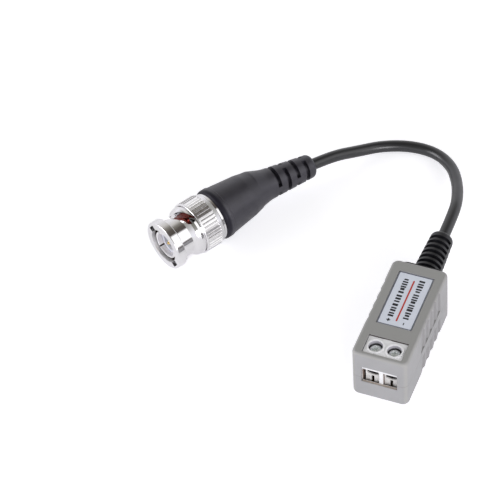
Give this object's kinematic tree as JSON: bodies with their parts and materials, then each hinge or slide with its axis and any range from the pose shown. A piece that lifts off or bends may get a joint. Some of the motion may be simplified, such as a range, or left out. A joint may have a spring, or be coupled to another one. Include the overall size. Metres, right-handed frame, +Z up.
{
  "type": "video balun",
  "caption": "Small grey housing with a screw terminal for a twisted pair, a ribbed strain relief and a short thin coax that ends in a moulded bayonet plug.",
  "frame": {"origin": "centre of the housing's underside, on the surface the housing and the plug rest on", "axes": "+X to the housing's right seen from the cable end with +Z up, +Y along the housing from the screw terminals to the cable, +Z up"},
  "size_m": [0.0836, 0.0879, 0.0162],
  "materials": {
    "housing": "satin warm grey",
    "label": "printed film",
    "board": "solder resist",
    "terminal": "moulded light grey",
    "screw": "plated",
    "clamp": "bright",
    "ferrite": "dull ceramic",
    "winding": "enamelled copper",
    "component": "coated",
    "relief": "moulded black",
    "boot": "moulded black",
    "jacket": "black jacket",
    "lead": "stripped core",
    "sleeve": "bright nickel",
    "plug_metal": "bright nickel",
    "spring_steel": "spring steel",
    "insulator": "white",
    "gold": "gold plated",
    "gasket": "dark red silicone"
  },
  "bodies": {
    "balun": {"lower_shell": "housing", "upper_shell": "housing", "label": "label", "circuit_board": "board", "terminal_block": "terminal", "fixed_contact_positive": "clamp", "fixed_contact_negative": "clamp", "ferrite_core": "ferrite", "line_winding": "winding", "coax_winding": "winding", "surge_suppressor": "component", "blocking_capacitor": "component", "strain_relief": "relief", "cable_core_end": "jacket", "signal_lead": "lead", "shield_lead": "lead", "cable": "jacket", "plug_boot": "boot", "plug_cable_end": "lead", "crimp_sleeve": "plug_metal", "plug_body": "plug_metal", "insulator": "insulator", "centre_pin": "gold", "gasket": "gasket", "spring_washer": "spring_steel", "retaining_ring": "spring_steel"},
    "thrust": {"thrust_washer": "spring_steel"},
    "coupling": {"coupling_sleeve": "sleeve"},
    "screw_positive": {"terminal_screw_positive": "screw"},
    "cage_positive": {"clamp_cage_positive": "clamp"},
    "screw_negative": {"terminal_screw_negative": "screw"},
    "cage_negative": {"clamp_cage_negative": "clamp"}
  },
  "joints": [
    {"name": "coupling_pull", "type": "slide", "parent": "balun", "child": "thrust", "axis": [-0.5, -0.866, 0], "range_m": [0, 0.0004], "stiffness_N_per_m": 2000},
    {"name": "coupling_turn", "type": "hinge", "parent": "thrust", "child": "coupling", "pos_m": [-0.0699, 0.0084, 0.0075], "axis": [-0.5, -0.866, 0], "continuous": true},
    {"name": "screw_positive_turn", "type": "hinge", "parent": "balun", "child": "screw_positive", "pos_m": [-0.00224, -0.0127, 0.0154], "axis": [0, 0, -1], "range_deg": [-363, 993]},
    {"name": "cage_positive_rise", "type": "slide", "parent": "balun", "child": "cage_positive", "axis": [0, 0, 1], "range_m": [-0.0005, 0.00137]},
    {"name": "screw_negative_turn", "type": "hinge", "parent": "balun", "child": "screw_negative", "pos_m": [0.00284, -0.0127, 0.0154], "axis": [0, 0, -1], "range_deg": [-363, 993]},
    {"name": "cage_negative_rise", "type": "slide", "parent": "balun", "child": "cage_negative", "axis": [0, 0, 1], "range_m": [-0.0005, 0.00137]}
  ],
  "couplings": [
    {"joint": "screw_positive_turn", "follows": "cage_positive_rise", "rad_per_m": 12566},
    {"joint": "screw_negative_turn", "follows": "cage_negative_rise", "rad_per_m": 12566}
  ]
}
